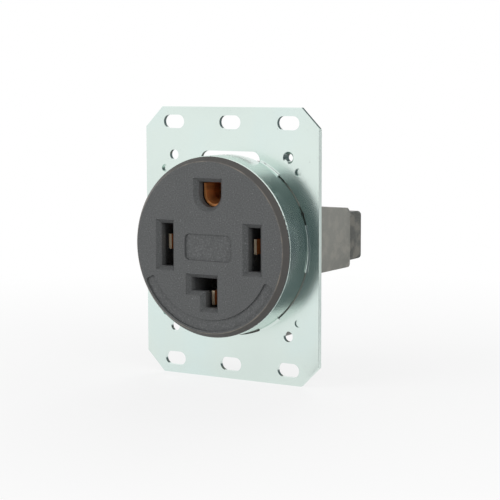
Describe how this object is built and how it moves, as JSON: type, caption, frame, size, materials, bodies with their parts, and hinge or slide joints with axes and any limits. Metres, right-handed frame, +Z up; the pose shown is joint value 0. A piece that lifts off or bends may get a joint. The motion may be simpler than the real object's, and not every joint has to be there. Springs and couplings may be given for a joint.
{
  "type": "dryer outlet",
  "caption": "Flush mounted heavy duty outlet with a round dark face, straight line slots, a rounded ground opening, an angled neutral slot and box lug terminals.",
  "frame": {"origin": "on the axis of the round face, in the front plane of the mounting plate", "axes": "+X to the right and +Z up as seen from the front, +Y back into the wall; the face looks along -Y"},
  "size_m": [0.07, 0.0487, 0.0936],
  "materials": {
    "face_moulding": "fine speckled moulding, dark grey, slightly rough",
    "plate_steel": "zinc plated, bright and smooth, faintly green-blue",
    "base_moulding": "hard moulding, olive grey",
    "cover_moulding": "hard moulding, olive grey, a little darker",
    "contact_copper": "copper alloy, dull orange brown",
    "spring_steel": "plain spring steel",
    "lug_brass": "machined brass",
    "clamp_steel": "zinc plated steel",
    "screw_steel": "zinc plated steel",
    "strap_brass": "rolled brass strip"
  },
  "bodies": {
    "outlet": {"face": "face_moulding", "yoke": "plate_steel", "base": "base_moulding", "rear_cover": "cover_moulding", "hot_left_contact": "contact_copper", "hot_right_contact": "contact_copper", "neutral_contact": "contact_copper", "ground_contact": "contact_copper", "hot_left_spring": "spring_steel", "hot_right_spring": "spring_steel", "neutral_spring": "spring_steel", "ground_spring": "spring_steel", "hot_left_lug": "lug_brass", "hot_right_lug": "lug_brass", "ground_lug": "lug_brass", "neutral_lug": "lug_brass", "ground_strap": "strap_brass", "ground_rivet": "strap_brass", "tie_screw_1": "screw_steel", "tie_screw_2": "screw_steel", "tie_screw_3": "screw_steel"},
    "hot_left_clamp": {"hot_left_clamp": "clamp_steel"},
    "hot_left_screw": {"hot_left_screw": "screw_steel"},
    "hot_right_clamp": {"hot_right_clamp": "clamp_steel"},
    "hot_right_screw": {"hot_right_screw": "screw_steel"},
    "ground_clamp": {"ground_clamp": "clamp_steel"},
    "ground_screw": {"ground_screw": "screw_steel"},
    "neutral_clamp": {"neutral_clamp": "clamp_steel"},
    "neutral_screw": {"neutral_screw": "screw_steel"}
  },
  "joints": [
    {"name": "hot_left_clamp_slide", "type": "slide", "parent": "outlet", "child": "hot_left_clamp", "axis": [0, -1, 0], "range_m": [0, 0.0045]},
    {"name": "hot_left_screw_turn", "type": "hinge", "parent": "hot_left_clamp", "child": "hot_left_screw", "pos_m": [-0.0272, 0.026, 0.0038], "axis": [0, -1, 0], "range_deg": [0, 1786.2]},
    {"name": "hot_right_clamp_slide", "type": "slide", "parent": "outlet", "child": "hot_right_clamp", "axis": [0, -1, 0], "range_m": [0, 0.0045]},
    {"name": "hot_right_screw_turn", "type": "hinge", "parent": "hot_right_clamp", "child": "hot_right_screw", "pos_m": [0.0272, 0.026, 0.0038], "axis": [0, -1, 0], "range_deg": [0, 1786.2]},
    {"name": "ground_clamp_slide", "type": "slide", "parent": "outlet", "child": "ground_clamp", "axis": [0, -1, 0], "range_m": [0, 0.0045]},
    {"name": "ground_screw_turn", "type": "hinge", "parent": "ground_clamp", "child": "ground_screw", "pos_m": [0.0115, 0.026, 0.021], "axis": [0, -1, 0], "range_deg": [0, 1786.2]},
    {"name": "neutral_clamp_slide", "type": "slide", "parent": "outlet", "child": "neutral_clamp", "axis": [0, -1, 0], "range_m": [0, 0.0045]},
    {"name": "neutral_screw_turn", "type": "hinge", "parent": "neutral_clamp", "child": "neutral_screw", "pos_m": [-0.0115, 0.026, -0.0212], "axis": [0, -1, 0], "range_deg": [0, 1786.2]}
  ],
  "couplings": [
    {"joint": "hot_left_screw_turn", "follows": "hot_left_clamp_slide", "rad_per_m": 6927.4},
    {"joint": "hot_right_screw_turn", "follows": "hot_right_clamp_slide", "rad_per_m": 6927.4},
    {"joint": "ground_screw_turn", "follows": "ground_clamp_slide", "rad_per_m": 6927.4},
    {"joint": "neutral_screw_turn", "follows": "neutral_clamp_slide", "rad_per_m": 6927.4}
  ]
}
